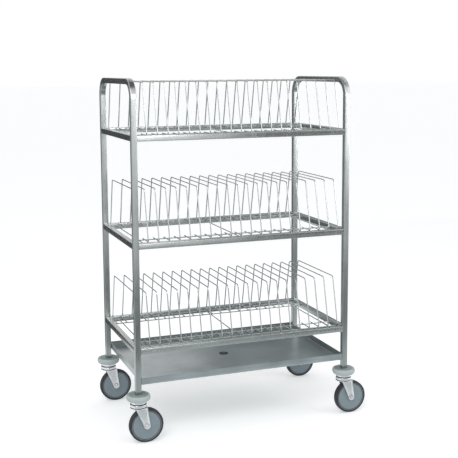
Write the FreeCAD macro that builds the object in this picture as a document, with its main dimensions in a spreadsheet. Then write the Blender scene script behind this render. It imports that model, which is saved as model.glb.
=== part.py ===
# Tray drying trolley: two bent side hoops of square tube carry three wire racks and a drip tray,
# and the whole frame stands on four swivel castors with round bumpers.
# Millimetres, +Z up, +X to the right, -Y to the front. The origin lies on the floor under the middle.
import FreeCAD
import Part
import Sketcher
import math
import os
import re

# Every size that can be set by itself: its name, its value and what it measures.
SIZES = [
    ("frame_width", 975, "left upright to right upright, middle to middle"),
    ("frame_depth", 550, "front upright to rear upright, middle to middle"),
    ("overall_height", 1545, "floor to the top of the handles"),
    ("tube", 25, "side of the square tube"),
    ("tube_wall", 1.5, "wall of the square tube"),
    ("tube_edge", 1.5, "flat along each long edge of the square tube"),
    ("handle_bend", 70, "bend radius at the ends of a handle, on the tube's middle line"),
    ("handle_rise", 232, "top rack's rails up to the top of the handles"),
    ("lower_rack_top", 413, "floor to the top of the lower rack's rails"),
    ("wire", 5, "rack wire across its flats"),
    ("hoop_count", 21, "wire hoops in a rack"),
    ("hoop_end_gap", 2.5, "side rail to the outermost hoop"),
    ("hoop_rise", 216, "rail top to the middle of a hoop's top bar"),
    ("hoop_inset", 19.5, "front rail to the middle of a hoop's leg at its foot"),
    ("hoop_lean", 52, "how far a leg leans inwards from its foot to its top"),
    ("hoop_bend", 11, "corner that each top bend of a hoop takes off"),
    ("foot_length", 88, "length of the foot that turns inwards under a leg"),
    ("rod_margin", 10, "end of a foot to the long rod under it"),
    ("tie_spread", 437, "middle cross tie to an outer one"),
    ("tray_height", 256, "floor to the underside of the drip tray"),
    ("tray_lip", 30, "height of the drip tray's walls"),
    ("tray_sheet", 1.5, "sheet of the drip tray"),
    ("tray_fold", 4, "outside radius of the drip tray's folds"),
    ("drain_bore", 30, "bore of the drain spigot under the tray"),
    ("drain_wall", 2, "wall of the drain spigot"),
    ("drain_flange", 44, "diameter of the ring round the drain on the tray's floor"),
    ("drain_ring", 1, "height of that ring"),
    ("drain_tail", 30, "length of the spigot below the tray"),
    ("strainer_sheet", 1.5, "thickness of the drain's strainer"),
    ("strainer_disc", 20, "diameter of the strainer's disc"),
    ("strainer_arm", 4, "width of the strainer's arms"),
    ("wheel_diameter", 150, "diameter over the tyre"),
    ("tyre_width", 32, "width of the tyre at its seat"),
    ("tread_width", 24, "width of the tyre's tread"),
    ("tyre_depth", 9, "tyre from its seat to its tread"),
    ("disc_width", 26, "width of the wheel's flat disc"),
    ("hub_diameter", 34, "diameter of the wheel's hub"),
    ("hub_gap", 0.6, "wheel hub to fork leg"),
    ("castor_trail", 32, "swivel axis to wheel axle"),
    ("wheel_headroom", 6, "top of the tyre to the fork's crown"),
    ("wheel_gap", 38, "fork leg to fork leg, inside"),
    ("fork_sheet", 3, "sheet of the fork legs"),
    ("fork_rim", 0.8, "height of the rim pressed round a fork leg"),
    ("fork_rim_width", 4, "width of that rim"),
    ("fork_end", 13.5, "radius of the fork leg's rounded end"),
    ("fork_front", 19, "swivel axis to the front of a leg at the crown"),
    ("fork_back", 35, "swivel axis to the back of a leg at the crown"),
    ("crown_diameter", 72, "diameter of the fork's round crown"),
    ("crown_height", 20, "height of the fork's round crown"),
    ("axle", 10, "diameter of the axle bolt"),
    ("axle_flats", 17, "axle bolt's head and nut across their flats"),
    ("axle_head", 6.4, "height of the axle bolt's head"),
    ("axle_nut", 8, "height of the axle bolt's nut"),
    ("king_pin", 12, "diameter of the swivel's king pin"),
    ("king_pin_head", 20, "diameter of the king pin's head"),
    ("king_pin_head_height", 4, "height of the king pin's head"),
    ("head_diameter", 66, "diameter of the castor's head plate"),
    ("head_plate", 12, "thickness of the head plate"),
    ("plug_length", 50, "square plug inside the foot of the upright"),
    ("bumper_diameter", 104, "diameter of the bumper disc"),
    ("bumper_height", 26, "height of the bumper disc"),
    ("bumper_edge", 8, "corner taken off the bumper's edges"),
    ("seat_fit", 0.05, "gap round a piece that is pressed in or clamped"),
    ("running_fit", 0.05, "gap round a shaft that turns"),
    ("swivel_gap", 0.3, "gap above and below the turning crown"),
]

RACK_TOPS = {
    "lower": "lower_rack_top",
    "middle": "(lower_rack_top + overall_height - handle_rise) / 2",
    "top": "overall_height - handle_rise",
}
CORNERS = {
    "front_left": (-1, -1),
    "front_right": (1, -1),
    "rear_left": (-1, 1),
    "rear_right": (1, 1),
}

# Levels of the castor from the floor up, each built on the one below.
CROWN_UNDER = "wheel_diameter + wheel_headroom"
CROWN_TOP = CROWN_UNDER + " + crown_height"
HEAD_UNDER = CROWN_TOP + " + swivel_gap"
UPRIGHT_FOOT = HEAD_UNDER + " + head_plate"
BUMPER_TOP = UPRIGHT_FOOT + " + bumper_height"

# Places that several pieces share.
LEG_PLACE = "(frame_depth / 2 - tube / 2 - hoop_inset)"
LEG_FACE = "(wheel_gap / 2 + fork_sheet)"
AXLE_HEIGHT = "wheel_diameter / 2"
TYRE_SEAT = "(wheel_diameter / 2 - tyre_depth)"
TRAY_FLOOR = "tray_height + tray_sheet"

doc = FreeCAD.newDocument("tray_drying_trolley")
sheet = doc.addObject("Spreadsheet::Sheet", "sizes")
parts = []


def fill_size_table():
    """Write each size, its name and its meaning into the table."""
    for row, (name, size, meaning) in enumerate(SIZES, start=1):
        sheet.set(f"A{row}", meaning)
        sheet.set(f"B{row}", str(size))
        sheet.setAlias(f"B{row}", name)
    doc.recompute()


def formula(text):
    """Put the table's name in front of each size in an expression."""
    return re.sub(r"\b[a-z][a-z_]+\b(?!\()", r"sizes.\g<0>", text)


def value(text):
    """Work out an expression of sizes as a number."""
    return float(sheet.evalExpression(text))


def new_body(label):
    """Start a sub-part, which may hold several separate solids."""
    body = doc.addObject("PartDesign::Body", label)
    body.Label = label
    body.AllowCompound = True
    parts.append(body)
    return body


def origin_feature(body, role):
    """Find a plane or an axis of a body's own origin."""
    return next(item for item in body.Origin.OriginFeatures if item.Role == role)


def new_sketch(body, name, role, lift="0"):
    """Start a sketch on one of the body's planes, lifted along the plane's normal."""
    sketch = body.newObject("Sketcher::SketchObject", name)
    sketch.AttachmentSupport = [(origin_feature(body, role), "")]
    sketch.MapMode = "FlatFace"
    if lift != "0":
        sketch.setExpression("AttachmentOffset.Base.z", formula(lift))
    return sketch


def place(body, across="0", deep="0", up="0"):
    """Set a body's place in the frame."""
    for axis, text in (("x", across), ("y", deep), ("z", up)):
        if text != "0":
            body.setExpression(f"Placement.Base.{axis}", formula(text))


def pin_point(sketch, element, end, across, up):
    """Hold a sketch point at a place given by two expressions."""
    for kind, text in (("DistanceX", across), ("DistanceY", up)):
        rule = Sketcher.Constraint(kind, -1, 1, element, end, value(text))
        index = sketch.addConstraint(rule)
        sketch.setExpression(f"Constraints[{index}]", formula(text))


def draw(sketch, points, closed=True):
    """Draw straight lines through points whose two coordinates are expressions."""
    corners = [FreeCAD.Vector(value(across), value(up), 0) for across, up in points]
    first = sketch.GeometryCount
    last = first + len(points) - (1 if closed else 2)
    for start, end in zip(corners, corners[1:]):
        sketch.addGeometry(Part.LineSegment(start, end), False)
    if closed:
        sketch.addGeometry(Part.LineSegment(corners[-1], corners[0]), False)
        sketch.addConstraint(Sketcher.Constraint("Coincident", last, 2, first, 1))
    for line in range(first, last):
        sketch.addConstraint(Sketcher.Constraint("Coincident", line, 2, line + 1, 1))
    for line, (across, up) in zip(range(first, last + 1), points):
        pin_point(sketch, line, 1, across, up)
    if not closed:
        pin_point(sketch, last, 2, *points[-1])


def draw_circle(sketch, radius, across="0", up="0"):
    """Draw a circle of a given radius about a point."""
    centre = FreeCAD.Vector(value(across), value(up), 0)
    circle = Part.Circle(centre, FreeCAD.Vector(0, 0, 1), value(radius))
    element = sketch.addGeometry(circle, False)
    index = sketch.addConstraint(Sketcher.Constraint("Radius", element, value(radius)))
    sketch.setExpression(f"Constraints[{index}]", formula(radius))
    pin_point(sketch, element, 3, across, up)


def draw_box(sketch, half_width, half_height, across="0", up="0"):
    """Draw a rectangle about a point."""
    signs = [(1, -1), (1, 1), (-1, 1), (-1, -1)]
    draw(sketch, [(f"{across} + {i} * ({half_width})", f"{up} + {j} * ({half_height})") for i, j in signs])


def draw_hexagon(sketch, flats, across="0", up="0"):
    """Draw a hexagon about a point, with flats above and below."""
    half = f"({flats}) / 2"
    corner = f"({flats}) / sqrt(3)"
    offsets = [("1", "0"), ("0.5", "1"), ("-0.5", "1"), ("-1", "0"), ("-0.5", "-1"), ("0.5", "-1")]
    draw(sketch, [(f"{across} + {i} * {corner}", f"{up} + {j} * {half}") for i, j in offsets])


def draw_tube_section(sketch, across="0", up="0"):
    """Draw the square tube's section: a wall between an outline with flat edges and a square bore."""
    side = "tube / 2"
    flat = "(tube / 2 - tube_edge)"
    outline = [
        (side, f"-{flat}"), (side, flat), (flat, side), (f"-{flat}", side),
        (f"-{side}", flat), (f"-{side}", f"-{flat}"), (f"-{flat}", f"-{side}"), (flat, f"-{side}"),
    ]
    draw(sketch, [(f"{across} + {i}", f"{up} + {j}") for i, j in outline])
    draw_box(sketch, "tube / 2 - tube_wall", "tube / 2 - tube_wall", across, up)


def pad(body, sketch, length, side="Symmetric", reverse=False):
    """Give a sketch thickness."""
    feature = body.newObject("PartDesign::Pad", f"{sketch.Name}_pad")
    feature.Profile = sketch
    feature.SideType = side
    feature.Reversed = reverse
    feature.setExpression("Length", formula(length))
    return feature


def cut(body, sketch, length=None):
    """Cut a sketch out to both sides, right through or to a given width."""
    feature = body.newObject("PartDesign::Pocket", f"{sketch.Name}_cut")
    feature.Profile = sketch
    feature.SideType = "Symmetric"
    if length is None:
        feature.Type = "ThroughAll"
    else:
        feature.setExpression("Length", formula(length))
    return feature


def revolve(body, sketch, axis):
    """Turn a sketch about its upright (V_Axis) or level (H_Axis) axis."""
    feature = body.newObject("PartDesign::Revolution", f"{sketch.Name}_turned")
    feature.Profile = sketch
    feature.ReferenceAxis = (sketch, [axis])
    feature.Angle = 360
    return feature


def repeat_at_corners(body, features):
    """Repeat what stands at the front left corner at the other three corners."""
    pattern = body.newObject("PartDesign::LinearPattern", f"{body.Name}_at_corners")
    pattern.Originals = features
    pattern.Direction = (origin_feature(body, "X_Axis"), [""])
    pattern.Direction2 = (origin_feature(body, "Y_Axis"), [""])
    pattern.Occurrences = 2
    pattern.Occurrences2 = 2
    pattern.setExpression("Length", formula("frame_width"))
    pattern.setExpression("Length2", formula("frame_depth"))
    body.Tip = pattern
    place(body, "-frame_width / 2", "-frame_depth / 2")


def side_hoop(label, sign):
    """Bend one tube into two uprights with a handle between their tops."""
    body = new_body(label)
    half = value("frame_depth / 2")
    bend = value("handle_bend")
    rise = f"overall_height - tube / 2 - ({UPRIGHT_FOOT})"
    level = value(rise)
    normal = FreeCAD.Vector(0, 0, 1)
    spine = new_sketch(body, f"{label}_line", "YZ_Plane")
    front_circle = Part.Circle(FreeCAD.Vector(bend - half, level - bend, 0), normal, bend)
    rear_circle = Part.Circle(FreeCAD.Vector(half - bend, level - bend, 0), normal, bend)
    front = Part.LineSegment(FreeCAD.Vector(-half, 0, 0), FreeCAD.Vector(-half, level - bend, 0))
    handle = Part.LineSegment(FreeCAD.Vector(bend - half, level, 0), FreeCAD.Vector(half - bend, level, 0))
    rear = Part.LineSegment(FreeCAD.Vector(half, level - bend, 0), FreeCAD.Vector(half, 0, 0))
    front_bend = Part.ArcOfCircle(front_circle, math.pi / 2, math.pi)
    rear_bend = Part.ArcOfCircle(rear_circle, 0, math.pi / 2)
    spine.addGeometry([front, front_bend, handle, rear_bend, rear], False)
    for first, first_end, second, second_end in ((0, 2, 1, 2), (1, 1, 2, 1), (2, 2, 3, 2), (3, 1, 4, 1)):
        spine.addConstraint(Sketcher.Constraint("Tangent", first, first_end, second, second_end))
    for line, kind in ((0, "Vertical"), (2, "Horizontal"), (4, "Vertical")):
        spine.addConstraint(Sketcher.Constraint(kind, line))
    for arc in (1, 3):
        index = spine.addConstraint(Sketcher.Constraint("Radius", arc, bend))
        spine.setExpression(f"Constraints[{index}]", formula("handle_bend"))
    pin_point(spine, 0, 1, "-frame_depth / 2", "0")
    pin_point(spine, 4, 2, "frame_depth / 2", "0")
    index = spine.addConstraint(Sketcher.Constraint("DistanceY", -1, 1, 2, 1, level))
    spine.setExpression(f"Constraints[{index}]", formula(rise))
    section = new_sketch(body, f"{label}_section", "XY_Plane")
    draw_tube_section(section, "0", "-frame_depth / 2")
    pipe = body.newObject("PartDesign::AdditivePipe", f"{label}_tube")
    pipe.Profile = section
    pipe.Spine = spine
    place(body, f"{sign} * frame_width / 2", "0", UPRIGHT_FOOT)


def rail(label, plane, length, across, deep, up):
    """Cut a straight length of the square tube and butt it between its neighbours."""
    body = new_body(label)
    section = new_sketch(body, f"{label}_section", plane)
    draw_tube_section(section)
    pad(body, section, length)
    place(body, across, deep, f"{up} - tube / 2")


def rack_rails(rack, top):
    """Frame a rack with four rails between the uprights."""
    long_length = "frame_width - tube"
    short_length = "frame_depth - tube"
    rail(f"{rack}_front_rail", "YZ_Plane", long_length, "0", "-frame_depth / 2", top)
    rail(f"{rack}_rear_rail", "YZ_Plane", long_length, "0", "frame_depth / 2", top)
    rail(f"{rack}_left_rail", "XZ_Plane", short_length, "-frame_width / 2", "0", top)
    rail(f"{rack}_right_rail", "XZ_Plane", short_length, "frame_width / 2", "0", top)


def rack_hoops(rack, top):
    """Bend a wire into a hoop with two leaning legs and inward feet, and repeat it along the rack."""
    body = new_body(f"{rack}_hoops")
    foot_end = f"({LEG_PLACE} - foot_length)"
    top_corner = f"({LEG_PLACE} - hoop_lean)"
    slope = "hoop_lean / (hoop_rise + wire / 2)"
    half_path = [
        (foot_end, "-wire / 2"),
        (LEG_PLACE, "-wire / 2"),
        (f"({top_corner} + hoop_bend * {slope})", "hoop_rise - hoop_bend"),
        (f"({top_corner} - hoop_bend)", "hoop_rise"),
    ]
    path = new_sketch(body, f"{rack}_hoop_line", "YZ_Plane")
    draw(path, [(f"-{deep}", up) for deep, up in half_path] + half_path[::-1], closed=False)
    section = new_sketch(body, f"{rack}_hoop_section", "XZ_Plane", foot_end)
    draw_hexagon(section, "wire", "0", "-wire / 2")
    pipe = body.newObject("PartDesign::AdditivePipe", f"{rack}_hoop")
    pipe.Profile = section
    pipe.Spine = path
    pipe.Transition = "Right corner"
    first = "(frame_width - tube - wire) / 2 - hoop_end_gap"
    pattern = body.newObject("PartDesign::LinearPattern", f"{rack}_hoop_row")
    pattern.Originals = [pipe]
    pattern.Direction = (origin_feature(body, "X_Axis"), [""])
    pattern.setExpression("Length", formula(f"2 * ({first})"))
    pattern.setExpression("Occurrences", formula("hoop_count"))
    body.Tip = pattern
    place(body, f"-({first})", "0", top)


def rack_rods(rack, top):
    """Lay two long rods under the front feet and two under the rear feet."""
    body = new_body(f"{rack}_long_rods")
    section = new_sketch(body, f"{rack}_rod_sections", "YZ_Plane")
    outer = f"({LEG_PLACE} - rod_margin)"
    inner = f"({LEG_PLACE} - foot_length + rod_margin)"
    for deep in (f"-{outer}", f"-{inner}", inner, outer):
        draw_hexagon(section, "wire", deep, "-1.5 * wire")
    pad(body, section, "frame_width - tube")
    place(body, "0", "0", top)


def rack_ties(rack, top):
    """Lay cross ties under the long rods, from the front rail to the rear rail."""
    body = new_body(f"{rack}_cross_ties")
    section = new_sketch(body, f"{rack}_tie_sections", "XZ_Plane")
    for side in ("-1", "0", "1"):
        draw_hexagon(section, "wire", f"{side} * tie_spread", "-2.5 * wire")
    pad(body, section, "frame_depth - tube")
    place(body, "0", "0", top)


def edges_below(feature, height):
    """Name a feature's level edges that lie below a height."""
    return [
        f"Edge{number}" for number, edge in enumerate(feature.Shape.Edges, start=1)
        if edge.BoundBox.ZMax < height
    ]


def faces_above(feature, height):
    """Name a feature's faces that lie wholly above a height."""
    return [
        f"Face{number}" for number, face in enumerate(feature.Shape.Faces, start=1)
        if face.BoundBox.ZMin > height
    ]


def drip_tray():
    """Fold a shallow pan between the uprights, and weld a drain spigot through its floor."""
    body = new_body("drip_tray")
    blank = new_sketch(body, "tray_blank", "XY_Plane")
    draw_box(blank, "(frame_width - tube) / 2", "(frame_depth + tube) / 2")
    block = pad(body, blank, "tray_lip", side="One side")
    doc.recompute()
    middle = value("tray_lip / 2")
    folds = body.newObject("PartDesign::Fillet", "tray_folds")
    folds.Base = (block, edges_below(block, middle))
    folds.setExpression("Radius", formula("tray_fold"))
    doc.recompute()
    shell = body.newObject("PartDesign::Thickness", "tray_shell")
    shell.Base = (folds, faces_above(folds, middle))
    shell.Reversed = True
    shell.setExpression("Value", formula("tray_sheet"))
    hole = new_sketch(body, "tray_hole", "XY_Plane")
    draw_circle(hole, "drain_bore / 2")
    cut(body, hole)
    bore = "drain_bore / 2"
    neck = "drain_bore / 2 + drain_wall"
    edge = "drain_flange / 2"
    spigot = new_sketch(body, "drain_profile", "XZ_Plane")
    draw(spigot, [
        (bore, "-drain_tail"), (neck, "-drain_tail"), (neck, "tray_sheet"), (edge, "tray_sheet"),
        (edge, "tray_sheet + drain_ring"), (bore, "tray_sheet + drain_ring"),
    ])
    revolve(body, spigot, "V_Axis")
    place(body, "0", "0", "tray_height")


def drain_strainer():
    """Lay a disc with four arms into the drain's bore."""
    body = new_body("drain_strainer")
    wide = "strainer_arm / 2"
    reach = "(sqrt((drain_bore / 2 - seat_fit) ^ 2 - (strainer_arm / 2) ^ 2))"
    arms = new_sketch(body, "strainer_arms", "XY_Plane")
    draw(arms, [
        (reach, f"-{wide}"), (reach, wide), (wide, wide), (wide, reach), (f"-{wide}", reach), (f"-{wide}", wide),
        (f"-{reach}", wide), (f"-{reach}", f"-{wide}"), (f"-{wide}", f"-{wide}"), (f"-{wide}", f"-{reach}"),
        (wide, f"-{reach}"), (wide, f"-{wide}"),
    ])
    pad(body, arms, "strainer_sheet", side="One side")
    disc = new_sketch(body, "strainer_disc_outline", "XY_Plane")
    draw_circle(disc, "strainer_disc / 2")
    pad(body, disc, "strainer_sheet", side="One side")
    place(body, "0", "0", f"{TRAY_FLOOR} + drain_ring - strainer_sheet")


def bumpers():
    """Turn a thick disc with sloped edges and cut it out to slide onto the foot of the upright."""
    body = new_body("castor_bumpers")
    edge = "bumper_diameter / 2"
    inside = "bumper_diameter / 2 - bumper_edge"
    profile = new_sketch(body, "bumper_profile", "XZ_Plane")
    draw(profile, [
        ("0", UPRIGHT_FOOT), (inside, UPRIGHT_FOOT), (edge, f"{UPRIGHT_FOOT} + bumper_edge"),
        (edge, f"{BUMPER_TOP} - bumper_edge"), (inside, BUMPER_TOP), ("0", BUMPER_TOP),
    ])
    disc = revolve(body, profile, "V_Axis")
    opening = new_sketch(body, "bumper_opening", "XY_Plane")
    draw_box(opening, "tube / 2 + seat_fit", "tube / 2 + seat_fit")
    repeat_at_corners(body, [disc, cut(body, opening)])


def castor_stems():
    """Make the fixed head of a castor: a headed king pin, a head plate and a square plug for the tube."""
    body = new_body("castor_stems")
    head_top = f"{CROWN_UNDER} - swivel_gap"
    head_foot = f"{head_top} - king_pin_head_height"
    profile = new_sketch(body, "stem_profile", "XZ_Plane")
    draw(profile, [
        ("0", head_foot), ("king_pin_head / 2", head_foot), ("king_pin_head / 2", head_top),
        ("king_pin / 2", head_top), ("king_pin / 2", HEAD_UNDER), ("head_diameter / 2", HEAD_UNDER),
        ("head_diameter / 2", UPRIGHT_FOOT), ("0", UPRIGHT_FOOT),
    ])
    head = revolve(body, profile, "V_Axis")
    outline = new_sketch(body, "plug_outline", "XY_Plane", UPRIGHT_FOOT)
    draw_box(outline, "tube / 2 - tube_wall - seat_fit", "tube / 2 - tube_wall - seat_fit")
    repeat_at_corners(body, [head, pad(body, outline, "plug_length", side="One side")])


def draw_leg(sketch, inset):
    """Draw a fork leg from the side: wide at the crown, tapered to a rounded end about the axle."""
    radius = f"fork_end - {inset}"
    front = f"-fork_front + {inset}"
    back = f"fork_back - {inset}"
    top = f"{CROWN_TOP} - {inset}"
    size = value(radius)
    centre = FreeCAD.Vector(value("castor_trail"), value(AXLE_HEIGHT), 0)
    front_top = FreeCAD.Vector(value(front), value(top), 0)
    back_top = FreeCAD.Vector(value(back), value(top), 0)
    front_low = centre + FreeCAD.Vector(-size, 0, 0)
    back_low = centre + FreeCAD.Vector(size, 0, 0)
    circle = Part.Circle(centre, FreeCAD.Vector(0, 0, 1), size)
    arc = Part.ArcOfCircle(circle, math.pi, 2 * math.pi)
    first = sketch.GeometryCount
    front_edge, end, back_edge, crown_edge = range(first, first + 4)
    sketch.addGeometry([
        Part.LineSegment(front_top, front_low), arc,
        Part.LineSegment(back_low, back_top), Part.LineSegment(back_top, front_top),
    ], False)
    sketch.addConstraint(Sketcher.Constraint("Tangent", front_edge, 2, end, 1))
    sketch.addConstraint(Sketcher.Constraint("Tangent", end, 2, back_edge, 1))
    sketch.addConstraint(Sketcher.Constraint("Coincident", back_edge, 2, crown_edge, 1))
    sketch.addConstraint(Sketcher.Constraint("Coincident", crown_edge, 2, front_edge, 1))
    index = sketch.addConstraint(Sketcher.Constraint("Radius", end, size))
    sketch.setExpression(f"Constraints[{index}]", formula(radius))
    pin_point(sketch, end, 3, "castor_trail", AXLE_HEIGHT)
    pin_point(sketch, front_edge, 1, front, top)
    pin_point(sketch, back_edge, 2, back, top)


def fork(label, across, deep):
    """Press a fork: two tapered legs with raised rims, joined by a round crown on the king pin."""
    body = new_body(label)
    leg = new_sketch(body, f"{label}_leg", "XZ_Plane")
    draw_leg(leg, "0")
    pad(body, leg, f"2 * {LEG_FACE}")
    rim = new_sketch(body, f"{label}_rim", "XZ_Plane")
    draw_leg(rim, "0")
    draw_leg(rim, "fork_rim_width")
    pad(body, rim, f"2 * ({LEG_FACE} + fork_rim)")
    crown = new_sketch(body, f"{label}_crown", "XZ_Plane")
    edge = "crown_diameter / 2"
    draw(crown, [("0", CROWN_UNDER), (edge, CROWN_UNDER), (edge, CROWN_TOP), ("0", CROWN_TOP)])
    revolve(body, crown, "V_Axis")
    slot = new_sketch(body, f"{label}_slot", "YZ_Plane")
    slot_foot = f"{AXLE_HEIGHT} - 2 * fork_end"
    half = "wheel_gap / 2"
    draw(slot, [(f"-{half}", slot_foot), (half, slot_foot), (half, CROWN_UNDER), (f"-{half}", CROWN_UNDER)])
    cut(body, slot)
    axle_hole = new_sketch(body, f"{label}_axle_hole", "XZ_Plane")
    draw_circle(axle_hole, "axle / 2 + seat_fit", "castor_trail", AXLE_HEIGHT)
    cut(body, axle_hole)
    pin_hole = new_sketch(body, f"{label}_pin_hole", "XY_Plane")
    draw_circle(pin_hole, "king_pin / 2 + running_fit")
    cut(body, pin_hole)
    place(body, across, deep)


def axle_bolt(label, across, deep):
    """Make the bolt that crosses the fork, with its head in front and its nut run tight behind."""
    body = new_body(label)
    shank = new_sketch(body, f"{label}_shank", "XZ_Plane")
    draw_circle(shank, "axle / 2")
    pad(body, shank, f"2 * {LEG_FACE}")
    head = new_sketch(body, f"{label}_head", "XZ_Plane", LEG_FACE)
    draw_hexagon(head, "axle_flats")
    pad(body, head, "axle_head", side="One side")
    nut = new_sketch(body, f"{label}_nut", "XZ_Plane", f"-{LEG_FACE}")
    draw_hexagon(nut, "axle_flats")
    pad(body, nut, "axle_nut", side="One side", reverse=True)
    place(body, f"{across} + castor_trail", deep, AXLE_HEIGHT)


def wheel_centre(label, across, deep):
    """Turn the wheel: a hub on the axle bolt and a flat disc that seats the tyre."""
    body = new_body(label)
    hub = "(wheel_gap / 2 - hub_gap)"
    disc = "disc_width / 2"
    half = [
        (hub, "axle / 2 + running_fit"), (hub, "hub_diameter / 2"),
        (disc, "hub_diameter / 2"), (disc, f"{TYRE_SEAT} - seat_fit"),
    ]
    profile = new_sketch(body, f"{label}_profile", "YZ_Plane")
    draw(profile, half + [(f"-{side}", up) for side, up in half[::-1]])
    revolve(body, profile, "H_Axis")
    place(body, f"{across} + castor_trail", deep, AXLE_HEIGHT)


def tyre(label, across, deep):
    """Turn the tyre, with sides that slope in to its tread."""
    body = new_body(label)
    half = [("tyre_width / 2", TYRE_SEAT), ("tread_width / 2", "wheel_diameter / 2")]
    profile = new_sketch(body, f"{label}_profile", "YZ_Plane")
    draw(profile, half + [(f"-{side}", up) for side, up in half[::-1]])
    revolve(body, profile, "H_Axis")
    place(body, f"{across} + castor_trail", deep, AXLE_HEIGHT)


def castors():
    """Build the fixed parts of the castors as sets of four, and the turning parts one by one."""
    bumpers()
    castor_stems()
    turning_parts = {"fork": fork, "axle_bolt": axle_bolt, "wheel": wheel_centre, "tyre": tyre}
    for corner, (side, end) in CORNERS.items():
        for name, build in turning_parts.items():
            build(f"{name}_{corner}", f"{side} * frame_width / 2", f"{end} * frame_depth / 2")


def export():
    """Refuse a failed feature or a bad solid, then write each sub-part under its own name."""
    failed = [item.Label for item in doc.Objects if {"Invalid", "Error"} & set(item.State)]
    failed += [item.Label for item in parts if item.Shape.isNull() or not item.Shape.isValid()]
    if failed:
        raise RuntimeError(f"these failed: {failed}")
    os.makedirs("parts", exist_ok=True)
    for item in parts:
        item.Shape.exportStep(f"parts/{item.Label}.step")
        print(item.Label, len(item.Shape.Solids), "solids", round(item.Shape.Volume), "mm3")


fill_size_table()
side_hoop("left_hoop", "-1")
side_hoop("right_hoop", "1")
for rack_name, rack_top in RACK_TOPS.items():
    rack_rails(rack_name, rack_top)
    rack_hoops(rack_name, rack_top)
    rack_rods(rack_name, rack_top)
    rack_ties(rack_name, rack_top)
drip_tray()
drain_strainer()
castors()
doc.recompute()
export()
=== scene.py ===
"""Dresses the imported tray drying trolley: smooth square tube, round bent wire, folded sheet and castors.

Everything is in metres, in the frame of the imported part: +Z up, +X to the right, -Y to the front,
with the origin on the floor under the middle of the trolley.
"""

import logging
import math
from dataclasses import dataclass
from enum import Enum
from typing import Any, ClassVar, Optional, Sequence, Union

import bmesh
import bpy
from mathutils import Matrix, Vector

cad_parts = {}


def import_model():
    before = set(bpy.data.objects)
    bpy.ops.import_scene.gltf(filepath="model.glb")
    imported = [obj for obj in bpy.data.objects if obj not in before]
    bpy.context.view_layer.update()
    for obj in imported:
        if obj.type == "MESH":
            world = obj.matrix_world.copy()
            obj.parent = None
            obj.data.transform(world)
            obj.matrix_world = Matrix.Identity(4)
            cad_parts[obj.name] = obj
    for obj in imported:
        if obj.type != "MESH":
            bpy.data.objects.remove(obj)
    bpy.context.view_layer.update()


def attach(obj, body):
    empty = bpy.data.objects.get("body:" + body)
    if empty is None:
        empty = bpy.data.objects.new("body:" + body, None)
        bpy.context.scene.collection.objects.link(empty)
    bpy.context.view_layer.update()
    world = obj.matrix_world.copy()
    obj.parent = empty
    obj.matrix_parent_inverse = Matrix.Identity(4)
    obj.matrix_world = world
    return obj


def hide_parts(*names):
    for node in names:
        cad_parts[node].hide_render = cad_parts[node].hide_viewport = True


LOG = logging.getLogger("trolley")
MM = 0.001
FRAME_BODY = "frame"
SAME_PLACE = 1e-6
SAME_LEVEL = 1e-5
ROUNDING_STEPS = 5
NOISE_MIDDLE = 0.5
Colour = tuple[float, float, float, float]
Point = tuple[float, float, float]
Edges = list[bmesh.types.BMEdge]

# Sizes that the sub-assemblies share, in millimetres, with width and depth between the uprights' middles
FRAME_WIDTH = 975.0
FRAME_DEPTH = 550.0
FRAME_FOOT = 188.3
TUBE = 25.0

# Radius, height and rounding of one corner of a turned outline, in millimetres
TurnedCorner = tuple[float, float, float]


def mm(*lengths: float) -> Vector:
    """Give a point or a list of lengths in millimetres as a vector in metres."""
    return Vector(lengths) * MM


# Shader expressions


class Signal:
    """A shader node's output that takes part in Python arithmetic."""

    def __init__(self, shader: "Shader", socket: bpy.types.NodeSocket) -> None:
        """Wrap one output socket of a shader's node."""
        self.shader = shader
        self.socket = socket

    def _math(self, operation: str, first: "Term", second: "Term") -> "Signal":
        """Add a Math node.

        Args:
            operation: Blender's name of the operation.
            first: Left side of the operation.
            second: Right side of the operation.

        Returns:
            The node's value.
        """
        return self.shader.node("ShaderNodeMath", {"operation": operation}, {0: first, 1: second})

    def __add__(self, other: "Term") -> "Signal":
        """Add a value on the right."""
        return self._math("ADD", self, other)

    def __radd__(self, other: "Term") -> "Signal":
        """Add a value on the left."""
        return self._math("ADD", other, self)

    def __sub__(self, other: "Term") -> "Signal":
        """Take a value away."""
        return self._math("SUBTRACT", self, other)

    def __rsub__(self, other: "Term") -> "Signal":
        """Take this away from a value."""
        return self._math("SUBTRACT", other, self)

    def __mul__(self, other: "Term") -> "Signal":
        """Multiply by a value on the right."""
        return self._math("MULTIPLY", self, other)

    def __rmul__(self, other: "Term") -> "Signal":
        """Multiply by a value on the left."""
        return self._math("MULTIPLY", other, self)


Term = Union[Signal, float]


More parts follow.
